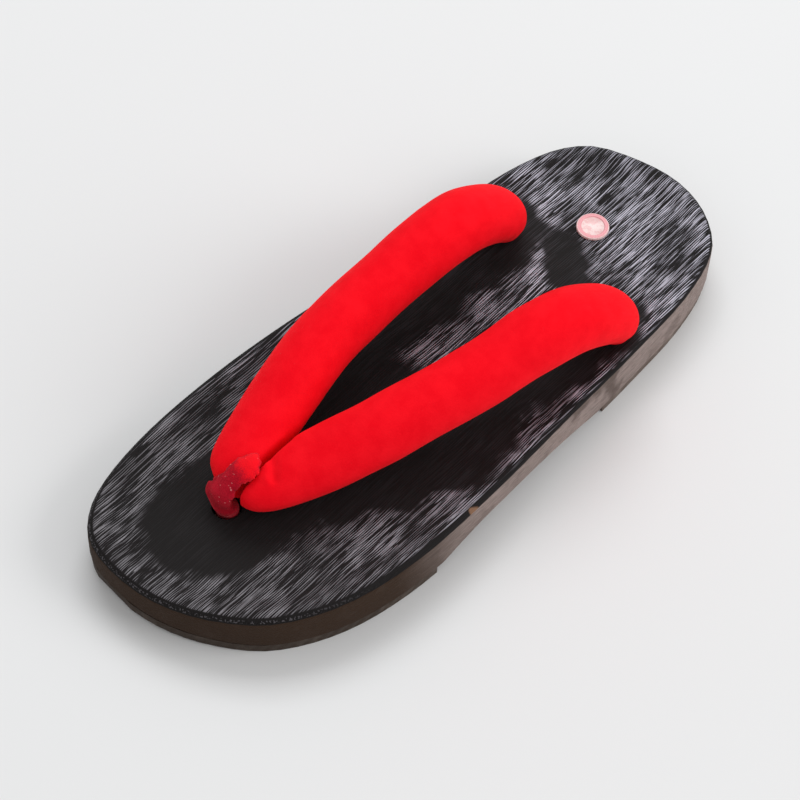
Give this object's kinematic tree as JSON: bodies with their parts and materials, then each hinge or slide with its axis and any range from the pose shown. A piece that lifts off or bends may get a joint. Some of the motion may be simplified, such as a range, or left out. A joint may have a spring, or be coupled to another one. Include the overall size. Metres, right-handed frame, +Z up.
{
  "type": "geta sandal",
  "caption": "Left sandal with a one-piece arched wooden sole, a V-shaped padded thong, a front loop and rubber treads.",
  "frame": {"origin": "on the floor under the middle of the sole's outline", "axes": "+Y to the toe, +X to the big-toe side, +Z up"},
  "size_m": [0.0973, 0.246, 0.0537],
  "materials": {
    "lacquered_wood": "black gloss lacquer over open grain",
    "tread_rubber": "matte brown",
    "red_cloth": "soft matte bright red",
    "wine_velvet": "wine-red velvet",
    "cotton_cord": "undyed cord",
    "badge": "pale pink enamel"
  },
  "bodies": {
    "root": {"sole_block": "lacquered_wood", "toe_tread": "tread_rubber", "heel_tread": "tread_rubber", "hanao_straps": "red_cloth", "maetsubo": "wine_velvet", "front_knot": "cotton_cord", "rear_knot_medial": "cotton_cord", "rear_knot_lateral": "cotton_cord", "heel_badge": "badge"}
  },
  "joints": []
}
